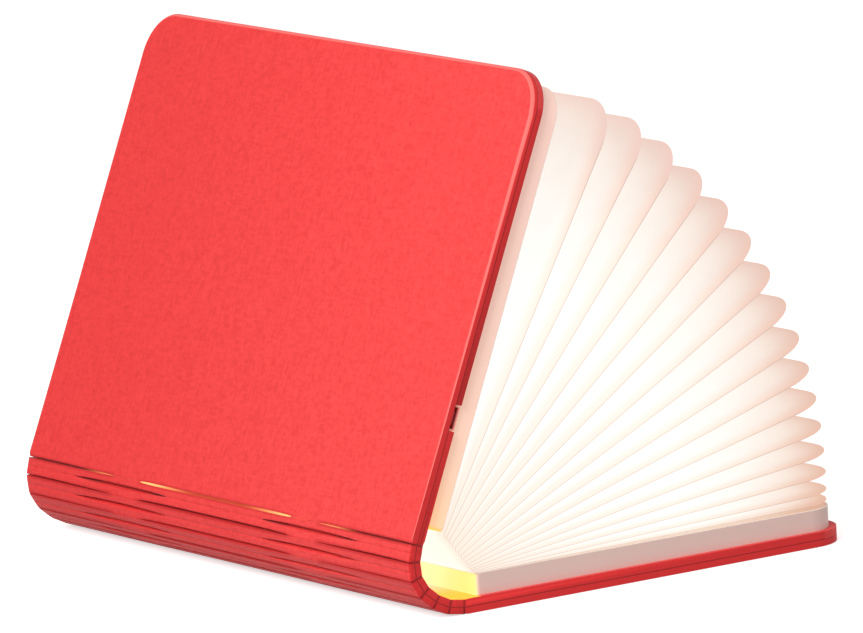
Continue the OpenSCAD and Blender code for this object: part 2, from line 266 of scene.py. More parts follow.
def srgb(*values):
    """A colour given as 0 to 255 screen values, for a shader's linear socket."""
    return tuple(v / 255 / 12.92 if v <= 10.31 else ((v / 255 + 0.055) / 1.055) ** 2.4
                 for v in values)


def smooth_step(n, value, low, high):
    """0 below low, 1 above high and smooth between; low may be the larger."""
    t = n.math('DIVIDE', n.math('SUBTRACT', value, low), high - low, clamp=True)
    return n.math('MULTIPLY', n.math('MULTIPLY', t, t), n.math('SUBTRACT', 3.0,
                                                              n.math('MULTIPLY', t, 2.0)))


def book_cloth(name, turn, origin, glow_reach=1.0, rimmed=False, seeping=False, crease_shade=None,
               folding=False):
    """Fine linen book cloth, matt and uneven, with painted light and shade: paler towards
    the tail and darker towards the head, a deeper red painted shade on the cut edges, a dark
    line where the two layers meet and lamplight on the side that faces the pages, out to
    glow_reach from the fold line. A rimmed board has a paler painted highlight on its
    rounding. A seeping fold lets lamplight show in its slits. A crease gives the distances
    across a piece between which painted shade darkens its cloth, though not over the
    bridges. A folding board reads its places at rest and has a dark line through the middle
    of its end."""
    s = bpy.context.scene.book_lamp_covers
    light = bpy.context.scene.book_lamp_light
    n = Nodes(name)
    place = n.object_place(turn, origin, folding)
    axes = n.add("ShaderNodeSeparateXYZ", {"Vector": place}).outputs
    across, away = n.math('ABSOLUTE', axes["X"]), n.math('ABSOLUTE', axes["Y"])
    fine = n.add("ShaderNodeTexNoise", {"Vector": place, "Scale": 620.0, "Detail": 2.0,
                                        "Roughness": 0.6}).outputs[0]
    warp_place = n.add("ShaderNodeMapping", {"Vector": place, "Scale": (1.0, 0.3, 1.0)}).outputs[0]
    warp = n.add("ShaderNodeTexNoise", {"Vector": warp_place, "Scale": 1100.0,
                                        "Detail": 1.0}).outputs[0]
    weft_place = n.add("ShaderNodeMapping", {"Vector": place, "Scale": (0.3, 1.0, 1.0)}).outputs[0]
    weft = n.add("ShaderNodeTexNoise", {"Vector": weft_place, "Scale": 1100.0,
                                        "Detail": 1.0}).outputs[0]
    threads = n.math('ADD', warp, weft)
    weave = n.math('ADD', n.math('MULTIPLY', threads, 0.35), n.math('MULTIPLY', fine, 0.3))
    broad = n.add("ShaderNodeTexNoise", {"Vector": place, "Scale": 22.0, "Detail": 4.0,
                                         "Roughness": 0.65}).outputs[0]
    base = tuple(s.cloth_colour)
    dark = tuple(c * k for c, k in zip(base, (0.90, 0.74, 0.76)))
    pale = tuple(min(1.0, c * k) for c, k in zip(base, (1.06, 1.22, 1.20)))
    speck = n.ramp(weave, [(0.38, dark), (0.50, base), (0.62, pale)])
    cloudy = n.mix(n.math('MULTIPLY', broad, 0.4), speck,
                   tuple(c * k for c, k in zip(base, (0.92, 0.78, 0.80))))
    # Painted light and shade: the cloth grows paler and whiter towards the tail and darker towards
    # the head, as the light falls off along the spine.
    painted_falloff = smooth_step(n, axes["Y"], HALF_H, -HALF_H)
    cloudy = n.mix(painted_falloff, n.mix(1.0, cloudy, (0.97, 0.88, 0.88), 'MULTIPLY'),
                   n.mix(1.0, cloudy, (1.03, 1.30, 1.26), 'MULTIPLY'))
    # Painted shade: the cloth darkens by the fold lines, though not over the bridges.
    if crease_shade:
        bridge = smooth_step(n, n.math('ABSOLUTE', n.math('SUBTRACT', away, BRIDGE_MIDDLE)),
                             0.004, 0.011)
        fold = n.math('MULTIPLY', bridge, smooth_step(n, across, *crease_shade))
        cloudy = n.mix(n.math('MULTIPLY', fold, 0.62), cloudy,
                       tuple(c * k for c, k in zip(base, (0.62, 0.30, 0.34))))
    # Painted shade: the cut edges take a deeper red than the face, as they catch less light and
    # sheen.
    cut = smooth_step(n, away, HALF_H - 0.0005, HALF_H - 0.0001)
    if rimmed:
        upright = n.add("ShaderNodeVectorMath", {0: n.add("ShaderNodeTexCoord").outputs["Normal"],
                        1: (-sin(turn), 0.0, cos(turn))}, operation='DOT_PRODUCT').outputs["Value"]
        facing = n.math('ABSOLUTE', upright)
        cut = smooth_step(n, facing, 0.42, 0.28)
        # Painted highlight: a paler band on the rounded rim, where a sheen catches the light.
        highlighted = n.math('MULTIPLY', smooth_step(n, facing, 0.985, 0.93),
                      n.math('SUBTRACT', 1.0, cut))
        cloudy = n.mix(n.math('MULTIPLY', highlighted, 0.9), cloudy, tuple(s.rim_highlight_colour))
    edged = n.mix(n.math('MULTIPLY', cut, 0.85), cloudy, tuple(s.edge_shade_colour))
    seam = n.math('SUBTRACT', 1.0, smooth_step(n, n.math('ABSOLUTE', n.math(
        'SUBTRACT', axes["Z"], 0.0001)), 0.00008, 0.00026))
    line = n.math('MULTIPLY', seam, cut)
    if folding:
        line = n.math('MAXIMUM', line, n.math('MULTIPLY', cut, smooth_step(
            n, across, 0.0005, 0.0002)))
    colour = n.mix(n.math('MULTIPLY', line, 0.75), edged, tuple(c * 0.3 for c in s.edge_shade_colour))
    bump = n.add("ShaderNodeBump", {"Height": weave, "Strength": 0.12,
                                    "Distance": 0.0002}).outputs[0]
    inside = n.math('MULTIPLY', smooth_step(n, axes["Z"], LINING_DEPTH, LINING_DEPTH - 0.00017),
                    n.math('LESS_THAN', across, glow_reach))
    inside = n.math('MULTIPLY', inside, n.math('SUBTRACT', 1.0, cut))
    tail = smooth_step(n, away, HALF_H - 0.045, HALF_H - 0.006)
    lit = n.mix(tail, tuple(light.lining_colour), tuple(light.lining_end_colour))
    if seeping:
        deep = n.math('MULTIPLY', smooth_step(n, axes["Z"], 0.00216, 0.00204), n.math(
            'MULTIPLY', n.math('LESS_THAN', across, 0.00055),
            n.math('GREATER_THAN', axes["Z"], -0.0019)))
        middle = n.math('LESS_THAN', away, BRIDGE_MIDDLE)
        bright = n.math('ADD', n.math('MULTIPLY', middle, smooth_step(n, away, 0.012, 0.040)),
                        n.math('MULTIPLY', n.math('SUBTRACT', 1.0, middle),
                               smooth_step(n, away, 0.080, 0.062)))
        lit = n.mix(deep, lit, n.mix(bright, tuple(light.seep_dim_colour),
                                     tuple(light.seep_colour)))
        inside = n.math('MAXIMUM', inside, n.math('MULTIPLY', deep, n.math(
            'ADD', n.math('MULTIPLY', middle, 0.5), n.math('MULTIPLY', bright, 0.5))))
    shader = n.add("ShaderNodeBsdfPrincipled", {
        "Base Color": colour, "Roughness": 0.65, "Specular IOR Level": 0.25,
        "Sheen Weight": 0.06, "Sheen Roughness": 0.4, "Normal": bump,
        "Emission Color": lit, "Emission Strength": n.math('MULTIPLY', inside,
                                                           light.lining_strength)}).outputs[0]
    return n.finish(shader)


def page_paper(name, turn, origin, reach, half_width, lowness):
    """Thin glowing paper with the lamp's light painted in: warm white by the hub, fading to
    cream further out and to pink at the tip's rim, with painted shade by its long edges and
    along its cut edge. reach is the tip's distance from the hub, lowness 0 for the top page
    and 1 for the lowest."""
    s = bpy.context.scene.book_lamp_pages
    n = Nodes(name)
    place = n.object_place(turn, origin)
    axes = n.add("ShaderNodeSeparateXYZ", {"Vector": place}).outputs
    away = n.math('ABSOLUTE', axes["Y"])
    out = n.math('DIVIDE', axes["X"], reach)
    side = n.math('DIVIDE', away, half_width)
    fibres = n.add("ShaderNodeTexNoise", {"Vector": place, "Scale": 110.0, "Detail": 5.0,
                                          "Roughness": 0.65}).outputs[0]
    blotch = n.add("ShaderNodeTexNoise", {"Vector": place, "Scale": 38.0, "Detail": 3.0,
                                          "Roughness": 0.6}).outputs[0]
    uneven = n.math('MULTIPLY', n.math('SUBTRACT', n.math('ADD', fibres, blotch), 1.0), 0.10)
    # Painted light: the glow fades from the hub to cream towards the tip and to pink at the tip's
    # rim, where less of the lamp's light reaches.
    far = smooth_step(n, out, 0.45, 0.95)
    rim = n.math('ADD', n.math('POWER', n.math('MAXIMUM', out, 0.0), 13.0), n.math(
        'MULTIPLY', n.math('POWER', side, 13.0), far))
    rim = smooth_step(n, n.math('ADD', rim, uneven), 0.10, 1.35)
    tip = smooth_step(n, n.math('ADD', out, uneven), 0.56, 1.0)
    white = n.mix(n.math('MULTIPLY', smooth_step(n, out, 0.15, -0.02), 0.5),
                  tuple(s.paper_colour), tuple(s.root_colour))
    cream = n.mix(n.math('MULTIPLY', tip, 0.85), white, tuple(s.cream_colour))
    # Painted shade: the paper darkens to peach close to its long edges.
    brink_shade = smooth_step(n, away, half_width - 0.008, half_width)
    cream = n.mix(n.math('MULTIPLY', brink_shade, 0.7), cream, tuple(s.brink_shade_colour))
    tip_colour = tuple(a + (b - a) * lowness for a, b in zip(s.tip_colour, s.low_tip_colour))
    rosy = n.mix(n.math('MULTIPLY', rim, n.math('ADD', 0.32, n.math('MULTIPLY', tip, 0.68))),
                 cream, tip_colour)
    # Painted shade: a thin darker line along the paper's cut edge.
    edge = n.math('MULTIPLY', smooth_step(n, away, half_width - 0.00045, half_width - 0.0001),
                  n.math('ADD', 0.55, n.math('MULTIPLY', tip, 0.3)))
    colour = n.mix(edge, rosy, tuple(s.edge_shade_colour))
    bump = n.add("ShaderNodeBump", {"Height": fibres, "Strength": 0.2,
                                    "Distance": 0.0004}).outputs[0]
    front = n.add("ShaderNodeBsdfDiffuse", {"Color": colour, "Roughness": 0.6,
                                            "Normal": bump}).outputs[0]
    through = n.add("ShaderNodeBsdfTranslucent", {"Color": colour}).outputs[0]
    sheet = n.add("ShaderNodeMixShader", {0: 0.4, 1: front, 2: through}).outputs[0]
    dim = n.add("ShaderNodeMixShader", {0: s.paper_share, 1: n.add(
        "ShaderNodeBsdfDiffuse", {"Color": (0.0, 0.0, 0.0, 1.0)}).outputs[0], 2: sheet}).outputs[0]
    glow = n.add("ShaderNodeEmission", {"Color": colour, "Strength": s.glow_strength}).outputs[0]
    return n.finish(n.add("ShaderNodeAddShader", {0: dim, 1: glow}).outputs[0])


def tray_plastic(name, link, sheen_reach):
    """Greyish pink moulding, lit warm yellow on its spine side. Light fades along its ends
    over sheen_reach, or stays off them where that is 0."""
    t = bpy.context.scene.book_lamp_trays
    m = link_frame(link)
    along = m.to_3x3().col[0]
    n = Nodes(name)
    place = n.object_place(atan2(along.z, along.x), tuple(m.translation))
    axes = n.add("ShaderNodeSeparateXYZ", {"Vector": place}).outputs
    away = n.math('ABSOLUTE', axes["X"])
    noise = n.add("ShaderNodeTexNoise", {"Vector": place, "Scale": 60.0,
                                         "Detail": 3.0}).outputs[0]
    base = n.mix(n.math('MULTIPLY', noise, 0.5), tuple(t.tray_colour),
                 tuple(c * 0.95 for c in t.tray_colour))
    tail = smooth_step(n, n.math('ABSOLUTE', axes["Y"]), HALF_H - 0.022, HALF_H - 0.002)
    end_lit = n.mix(tail, tuple(t.end_glow), tuple(t.end_glow_edge))
    end_face = n.math('SUBTRACT', 1.0, smooth_step(n, away, 0.0062, 0.0070))
    base = n.mix(end_face, base, tuple(t.end_tint))
    side_lit, strength = tuple(t.through_glow), n.math('MULTIPLY', end_face, 0.85)
    if sheen_reach:
        spread = n.math('POWER', 2.718, n.math('DIVIDE', n.math('SUBTRACT', 0.006, away),
                                               sheen_reach))
        far_off = n.math('SUBTRACT', 1.0, spread)
        side_lit = n.mix(far_off, tuple(t.side_glow), tuple(t.through_glow))
        side = n.math('ADD', n.math('MULTIPLY', spread, 0.55),
                      n.math('MULTIPLY', far_off, 0.36))
        strength = n.math('ADD', strength, n.math('MULTIPLY', side, n.math(
            'SUBTRACT', 1.0, end_face)))
    lit = n.mix(end_face, side_lit, end_lit)
    return n.finish(n.add("ShaderNodeBsdfPrincipled", {
        "Base Color": base, "Roughness": 0.5, "Specular IOR Level": 0.3,
        "Emission Color": lit, "Emission Strength": strength}).outputs[0])


def painted_socket_mouth(name):
    """The charging socket's mouth with light painted in: a rosy painted highlight at its rim,
    falling to dark red painted shade inside, and a faint painted glow all over.
    """
    n = Nodes(name)
    y = n.add("ShaderNodeSeparateXYZ", {"Vector": n.object_place()}).outputs["Y"]
    # Painted highlight at the mouth's rim, painted shade deeper in, and a painted glow.
    depth = smooth_step(n, y, SOCKET_MOUTH + 0.0001, SOCKET_MOUTH + 0.0012)
    colour = n.mix(depth, srgb(236, 150, 140), srgb(128, 22, 26))
    return n.finish(n.add("ShaderNodeBsdfPrincipled", {
        "Base Color": colour, "Roughness": 0.5, "Specular IOR Level": 0.2,
        "Emission Color": colour, "Emission Strength": 0.25}).outputs[0])


def plain(name, colour, roughness=0.5, metal=0.0, grain=0.0, scale=400.0, emission=None,
          strength=0.0):
    """A moulded or metal finish with a slight unevenness of colour and gloss."""
    n = Nodes(name)
    place = n.object_place()
    noise = n.add("ShaderNodeTexNoise", {"Vector": place, "Scale": scale,
                                         "Detail": 3.0}).outputs[0]
    tone = n.ramp(noise, [(0.3, tuple(c * (1 - grain) for c in colour)), (0.7, colour)])
    rough = n.math('ADD', roughness - 0.05, n.math('MULTIPLY', noise, 0.1))
    bump = n.add("ShaderNodeBump", {"Height": noise, "Strength": 0.08,
                                    "Distance": 0.0002}).outputs[0]
    values = {"Base Color": tone, "Roughness": rough, "Metallic": metal, "Normal": bump}
    if emission:
        values["Emission Color"] = tuple(emission) + (1.0,)
        values["Emission Strength"] = strength
    return n.finish(n.add("ShaderNodeBsdfPrincipled", values).outputs[0])


# ---- sizes and colours a user would change ----

def colour_property(name, description, *values):
    return FloatVectorProperty(name=name, description=description, subtype='COLOR', size=3,
                               min=0, max=1, default=srgb(*values))


class BookLampCovers(bpy.types.PropertyGroup):
    cloth_colour: colour_property("Cloth colour", "Colour of the book cloth", 224, 57, 57)
    # Painted highlight on the outer boards' rounded rim
    rim_highlight_colour: colour_property("Rim colour", "Colour of the outer boards' worn rounding",
                                240, 112, 106)
    # Painted shade: the deeper red of the boards' cut edges
    edge_shade_colour: colour_property("Edge colour", "Colour of the boards' cut edges", 214, 40, 42)
    rim_radius: FloatProperty(name="Rim radius", description="Rounding of the boards' edges",
                              subtype='DISTANCE', unit='LENGTH', default=0.0014, min=0.0001,
                              max=0.0018)


class BookLampPages(bpy.types.PropertyGroup):
    paper_colour: colour_property("Paper colour", "Pages in the middle", 255, 254, 251)
    # Painted light: these colours paint the glow fading from the hub out to the tips.
    cream_colour: colour_property("Cream colour", "Pages far from the hub", 246, 235, 225)
    tip_colour: colour_property("Tip colour", "Rim of the top page's tip", 232, 202, 192)
    low_tip_colour: colour_property("Low tip colour", "Rim of the lowest page's tip",
                                    229, 188, 166)
    # Painted shade: the peach of the pages close to their long edges
    brink_shade_colour: colour_property("Side colour", "Pages close to their long edges",
                                  248, 230, 214)
    root_colour: colour_property("Root colour", "Pages at the hub", 255, 240, 214)
    # Painted shade: the thin line along the paper's cut edge
    edge_shade_colour: colour_property("Edge line colour", "Cut edge of the paper", 208, 182, 170)
    paper_share: FloatProperty(name="Paper share", description="Share of the room's light that "
                               "the paper gives back", default=0.20, min=0.0, max=1.0)
    glow_strength: FloatProperty(name="Glow strength", description="Strength of the light in "
                                 "the paper", default=0.88, min=0.0, max=2.0)


class BookLampTrays(bpy.types.PropertyGroup):
    tray_colour: colour_property("Tray colour", "Colour of the trays", 228, 198, 189)
    end_glow: colour_property("Spine side glow", "Lamplight on the trays' spine sides",
                              250, 200, 140)
    end_glow_edge: colour_property("Spine side glow at the ends", "Lamplight near the head "
                                   "and tail", 246, 166, 40)
    end_tint: colour_property("Spine side tint", "Colour of the trays' spine sides", 232, 196, 154)
    side_glow: colour_property("Front tray glow", "Lamplight on the front tray's ends",
                               255, 196, 96)
    through_glow: colour_property("Front tray light", "Lamplight that comes through the front "
                                  "tray", 250, 200, 180)


class BookLampLight(bpy.types.PropertyGroup):
    led_colour: colour_property("LED colour", "Colour of the light", 255, 243, 218)
    led_strength: FloatProperty(name="LED strength", description="Brightness of the strip",
                                default=1.6, min=0.0, max=50.0)
    lining_colour: colour_property("Lining glow", "Lamplight on the spine's inside",
                                   255, 251, 236)
    lining_end_colour: colour_property("Lining glow at the ends", "Lamplight on the spine's "
                                       "inside near the head and tail", 255, 206, 0)
    seep_colour: colour_property("Seeping light", "Light in the fold beside the front cover",
                                 255, 215, 130)
    seep_dim_colour: colour_property("Seeping light, dim", "The same light in the middle of "
                                     "the long slit", 176, 96, 44)
    lining_strength: FloatProperty(name="Lining strength", description="Strength of the "
                                   "light on the spine's inside", default=0.9, min=0.0, max=3.0)


class BookLampStage(bpy.types.PropertyGroup):
    azimuth: FloatProperty(name="Azimuth", description="Camera's angle round the lamp",
                           subtype='ANGLE', unit='ROTATION', default=radians(-34.201))
    elevation: FloatProperty(name="Elevation", description="Camera's angle above the floor",
                             subtype='ANGLE', unit='ROTATION', default=radians(9.864))
    roll: FloatProperty(name="Roll", description="Camera's turn about its own axis",
                        subtype='ANGLE', unit='ROTATION', default=radians(-2.988))
    distance: FloatProperty(name="Distance", description="Camera's distance", subtype='DISTANCE',
                            unit='LENGTH', default=3.158, min=0.5)
    across: FloatProperty(name="Across", description="Aim to the right of the lamp's middle",
                          subtype='DISTANCE', unit='LENGTH', default=-0.006659)
    upward: FloatProperty(name="Upward", description="Aim above the lamp's middle",
                          subtype='DISTANCE', unit='LENGTH', default=-0.006182)
    focal: FloatProperty(name="Focal ratio", description="Focal length over sensor width",
                         default=10056 / 863, min=1.0)
    floor_colour: FloatVectorProperty(name="Floor colour", description="Colour of the floor",
                                      subtype='COLOR', size=3, min=0, max=1,
                                      default=(0.9, 0.9, 0.9))


# ---- covers and spine ----

def cloth_for(link, rimmed=False):
    m = link_frame(link)
    along = m.to_3x3().col[0]
    turn = atan2(along.z, along.x)
    return book_cloth("cloth_link_%d%s" % (link, "_rimmed" if rimmed else ""), turn,
                      tuple(m.translation), 0.0065 if link in (0, 7) else 1.0, rimmed,
                      crease_shade=None if link in (0, 7) else (0.0012, 0.0020))


def fold_cloth(i, across):
    return book_cloth("cloth_fold_%d" % i, atan2(across.z, across.x), tuple(FOLDS[i - 1]),
                      seeping=i == 7, crease_shade=(0.0013, 0.0005), folding=True)


class BOOKLAMP_OT_covers(bpy.types.Operator):
    """Wraps both covers' boards in cloth with soft rims"""
    bl_idname = "book_lamp.covers"
    bl_label = "Covers"

    def execute(self, context):
        s = context.scene.book_lamp_covers
        for half, link in (("back", 0), ("front", 7)):
            m = link_frame(link)
            out = m.to_3x3().col[2]
            for layer, radius, facing in (("outer", s.rim_radius, out),
                                          ("inner", INNER_ROUNDING, -out)):
                node = "%s_%s_board" % (half, layer)
                paint(rounded_copy(node, "%s_%s_cloth" % (half, layer), radius, m, facing),
                      cloth_for(link, layer == "outer"))
        return {'FINISHED'}


def fold_slit(y, i):
    """Half width of the slit on a fold line at y: none over the two bridges."""
    a = abs(y)
    if a <= SLIT_END:
        width, power = (0.00036, 16) if i == 7 else (0.00056, 4)
        return width * max(0.0, 1 - (a / SLIT_END) ** power) ** 0.5
    if a < SLIT_START:
        return 0.0
    open_end = 0.00042 if i in (6, 7) else 0.00030
    close = 0.4 + 0.6 * min(1.0, (HALF_H - a) / 0.0025)
    return open_end * min(1.0, (a - SLIT_START) / 0.030) ** 0.6 * close


def slat_slit(y):
    """Half width of the slit along the middle of a slat at y: two long lens shapes."""
    u = (abs(y) - SLAT_SLIT_MIDDLE) / SLAT_SLIT_HALF
    return 0.00075 * max(0.0, 1 - u * u) ** 0.7 if abs(u) < 1 else 0.0


def spine_stations():
    """Places along the spine where its sections are taken, closer at slits and rims."""
    half = [0, 8, 16, 24, 26.5, 28, 31, 35, 38, 40.5, 42, 42.5, 46, 50, 54, 57.5, 58, 60, 64, 69,
            74, 77, 79, 79.5, 84, 92, 100, 106.9, 107.2, 107.4, 107.5]
    return sorted({-v * MM for v in half} | {v * MM for v in half})


def loft_half(bm, centre, side, out, section, reach=1.0):
    """Lofts one half of a link along the spine. side and out are unit vectors, and
    section(y) gives (distance along side, height along out) pairs in ring order. reach
    scales its length. Each vertex keeps its place in an attribute."""
    layers = bm.verts.layers.float_vector
    rest = layers.get(REST_PLACE) or layers.new(REST_PLACE)
    rings = []
    for y in spine_stations():
        ring = []
        for across, height in section(y):
            p = centre + side * across + out * height
            ring.append(bm.verts.new((p.x, y * reach, p.z)))
            ring[-1][rest] = ring[-1].co
        rings.append(ring)
    for a, b in zip(rings, rings[1:]):
        for k in range(len(a)):
            n = (k + 1) % len(a)
            bm.faces.new((a[k], a[n], b[n], b[k]))
    bm.faces.new(rings[0])
    bm.faces.new(reversed(rings[-1]))


def rim_inset(y, r=0.0006):
    """How far a section shrinks near the spine's ends, for a rounded rim."""
    d = HALF_H - abs(y)
    return 0.0 if d >= r else r - sqrt(max(0.0, r * r - (r - d) ** 2))


def fold_lip(i, y, bend):
    """Section of the cloth-covered board beside fold i, from the slit to the slat."""
    R = COVER_T / 2
    half = bend / 2
    w = max(fold_slit(y, i), 0.00001)
    shrink = rim_inset(y)
    arc_end = R * sin(half)

    def outer(s):
        h = sqrt(R * R - s * s) if s <= arc_end else R * cos(half) - (s - arc_end) * tan(half)
        return h - shrink

    def inner(s):
        return -R * cos(half) - (s + R * sin(half)) * tan(half) + shrink * 0.5

    far_out = max(arc_end + BOARD_OUT * cos(half), w + 0.0009)
    far_in = -R * sin(half) + BOARD_IN * cos(half)
    near = w + 0.0003
    places = [w, w + 0.0001] + [near + (far_out - near) * k / 6 for k in range(7)]
    ring = [(s, outer(s) - (0.00014 if k == 0 else 0.0)) for k, s in enumerate(places)]
    return ring + [(far_in, inner(far_in)), (0.00001, inner(0.00001)), (0.00001, 0.0003)]


def slat_half(y, width):
    """Section of one half of a slat, from the slit in its middle to its long edge."""
    R = COVER_T / 2
    w = max(slat_slit(y), 0.00001)
    shrink = rim_inset(y)
    r_out, r_in = 0.0005, 0.0012
    top = R - shrink
    ring = [(w, top - 0.00012), (w + 0.00015, top)]
    for k in range(4):
        a = pi / 2 * k / 3
        ring.append((width - r_out + r_out * sin(a), top - r_out + r_out * cos(a)))
    for k in range(4):
        a = pi / 2 * k / 3
        ring.append((width - r_in + r_in * cos(a), -R + shrink * 0.5 + r_in - r_in * sin(a)))
    return ring + [(0.00001, -R + shrink * 0.5), (0.00001, -0.0008)]


class BOOKLAMP_OT_spine(bpy.types.Operator):
    """Dresses the slats and the slit, cloth-covered board that bends between them"""
    bl_idname = "book_lamp.spine"
    bl_label = "Spine"

    def execute(self, context):
        pitch = (FOLDS[1] - FOLDS[0]).length
        width = pitch / 2 - SLAT_GAP
        for i, node in enumerate(SLATS, 1):
            m = link_frame(i)
            along, out = m.to_3x3().col[0], m.to_3x3().col[2]

            def build(bm):
                for side in (along, -along):
                    loft_half(bm, m.translation, side, out, lambda y: slat_half(y, width))
                bmesh.ops.recalc_face_normals(bm, faces=bm.faces)
            obj = shade(new_object("slat_%d_cloth" % i, build), 40.0)
            paint(obj, cloth_for(i))
            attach(obj, "slat_%d" % i)
            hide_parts(node)
        for i in range(1, 8):
            before, after = link_frame(i - 1).to_3x3(), link_frame(i).to_3x3()
            back_dir = Vector((1, 0, 0)) if i == 1 else -before.col[0]
            back_out = Vector((0, 0, -1)) if i == 1 else before.col[2]
            front_dir, front_out = after.col[0], after.col[2]
            bis = (back_out + front_out).normalized()
            bend = back_out.angle(front_out)
            across = (front_dir - back_dir).normalized()
            across = (across - bis * across.dot(bis)).normalized()

            def build(bm):
                for side in (across, -across):
                    loft_half(bm, FOLDS[i - 1], side, bis, lambda y: fold_lip(i, y, bend),
                              0.9996)
                bmesh.ops.recalc_face_normals(bm, faces=bm.faces)
            obj = shade(new_object("fold_%d_board" % i, build), 40.0)
            paint(obj, fold_cloth(i, across))
            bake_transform(obj)
        return {'FINISHED'}


# ---- trays ----

class BOOKLAMP_OT_trays(bpy.types.Operator):
    """Gives the trays, lids, screws and endpapers their finish"""
    bl_idname = "book_lamp.trays"
    bl_label = "Trays"

    def execute(self, context):
        for half, link, reach in (("back", 0, 0.0), ("front", 7, 0.030)):
            moulding = tray_plastic("tray_plastic_" + half, link, reach)
            paint_node("%s_tray" % half, moulding)
            paint_node("%s_lid" % half, moulding)
            paint_node("%s_endpaper" % half, plain("endpaper", srgb(248, 232, 220), 0.8,
                                                   grain=0.04, scale=300.0))
            paint_node("%s_lid_screws" % half, plain("screw_steel", (0.6, 0.6, 0.62), 0.3, 1.0,
                                                     grain=0.1))
            paint_node("%s_magnets" % half, plain("magnet_nickel", (0.65, 0.63, 0.6), 0.2, 1.0,
                                                  grain=0.05))
        paint_node("switch_magnet", bpy.data.materials["magnet_nickel"])
        return {'FINISHED'}


# ---- pages ----

def page_frame(k):
    """Angle of page k above the back cover, and its half width, from its mesh."""
    mesh = frame["nodes"]["page_%02d" % k].data
    big = max(mesh.polygons, key=lambda p: p.area)
    n = big.normal if big.normal.z > 0 else -big.normal
    return atan2(-n.x, n.z), max(v.co.y for v in mesh.vertices)


class BOOKLAMP_OT_pages(bpy.types.Operator):
    """Gives each page its translucent, glowing paper"""
    bl_idname = "book_lamp.pages"
    bl_label = "Pages"

    def execute(self, context):
        hub = (FOLDS[3] + FOLDS[4]) / 2 + Vector((0.012, 0, 0.0))
        for k, node in enumerate(PAGES, 1):
            angle, half_width = page_frame(k)
            along = Vector((cos(angle), 0, sin(angle)))
            reach = max((v.co - hub).dot(along) for v in frame["nodes"][node].data.vertices)
            paint_node(node, page_paper("paper_%02d" % k, angle, tuple(hub), reach, half_width,
                                        (k - 1) / (len(PAGES) - 1)))
        return {'FINISHED'}


# ---- light and electronics ----

class BOOKLAMP_OT_light(bpy.types.Operator):
    """Lights the LED strip behind its diffuser"""
    bl_idname = "book_lamp.light"
    bl_label = "Light"

    def execute(self, context):
        s = context.scene.book_lamp_light
        paint_node("led_diffuser", plain("frosted_diffuser", srgb(255, 250, 238), 0.5,
                                         emission=s.led_colour, strength=s.led_strength))
        paint_node("led_packages", plain("led_phosphor", srgb(255, 214, 90), 0.4))
        paint_node("led_strip_board", plain("strip_board_white", srgb(240, 240, 236), 0.4))
        return {'FINISHED'}


class BOOKLAMP_OT_power(bpy.types.Operator):
    """Finishes the charging board, socket, battery and ribbon"""
    bl_idname = "book_lamp.power"
    bl_label = "Power"

    def execute(self, context):
        green = plain("solder_mask", srgb(24, 104, 62), 0.35, grain=0.15, scale=900.0)
        black = plain("chip_black", srgb(30, 30, 32), 0.5, grain=0.2, scale=900.0)
        # Painted light: the socket's tongue is dark red with a faint painted glow, in place of the
        # shade inside the socket.
        tongue_glow_red = plain("socket_plastic", srgb(128, 24, 26), 0.5, grain=0.1,
                        emission=srgb(128, 24, 26), strength=0.25)
        shell = painted_socket_mouth("socket_shell")
        foil = plain("battery_foil", (0.7, 0.71, 0.73), 0.38, 0.9, grain=0.1, scale=120.0)
        amber = plain("ribbon_amber", srgb(205, 130, 40), 0.35, grain=0.12)
        rubber = plain("lead_rubber", srgb(170, 24, 24), 0.5, grain=0.1)
        for node, material in (("charging_board", green), ("board_parts", black),
                               ("hall_sensor", black), ("usb_tongue", tongue_glow_red),
                               ("usb_shell", shell), ("battery_cell", foil),
                               ("battery_leads", rubber), ("ribbon_in_tray", amber),
                               ("ribbon_on_slat_5", amber), ("ribbon_on_slat_6", amber)):
            paint_node(node, material)
        return {'FINISHED'}


# ---- stage ----

def aim(obj, point):
    obj.rotation_euler = (point - obj.location).to_track_quat('-Z', 'Y').to_euler()


def soft_lamp(name, place, target, size, power):
    data = bpy.data.lights.new(name, 'AREA')
    data.shape = 'RECTANGLE'
    data.size, data.size_y = size
    data.energy = power
    obj = bpy.data.objects.new(name, data)
    bpy.context.scene.collection.objects.link(obj)
    obj.location = place
    bpy.context.view_layer.update()
    aim(obj, Vector(target))


def seen_directly(n):
    """1 for rays from the camera, a glossy surface or a clear one, and otherwise 0."""
    path = n.add("ShaderNodeLightPath").outputs
    return n.math('MAXIMUM', n.math('MAXIMUM', path["Is Camera Ray"], path["Is Glossy Ray"]),
                  path["Is Transmission Ray"])


def lay_floor(s):
    """A matt floor that looks white and keeps the lamp's shadow, but gives less light back."""
    floor = new_object("floor", lambda bm: bmesh.ops.create_grid(
        bm, x_segments=2, y_segments=2, size=4.0))
    floor.data.transform(Matrix.Translation((0, 0, -0.0002)))
    n = Nodes("floor_paint")
    matt = n.add("ShaderNodeBsdfDiffuse", {"Color": tuple(s.floor_colour) + (1.0,)}).outputs[0]
    bounce = n.add("ShaderNodeBsdfDiffuse", {"Color": (0.45, 0.45, 0.45, 1.0)}).outputs[0]
    white = n.add("ShaderNodeEmission", {"Color": WHITE, "Strength": 0.62}).outputs[0]
    lifted = n.add("ShaderNodeAddShader", {0: matt, 1: white}).outputs[0]
    paint(floor, n.finish(n.add("ShaderNodeMixShader", {0: seen_directly(n), 1: bounce,
                                                        2: lifted}).outputs[0]))


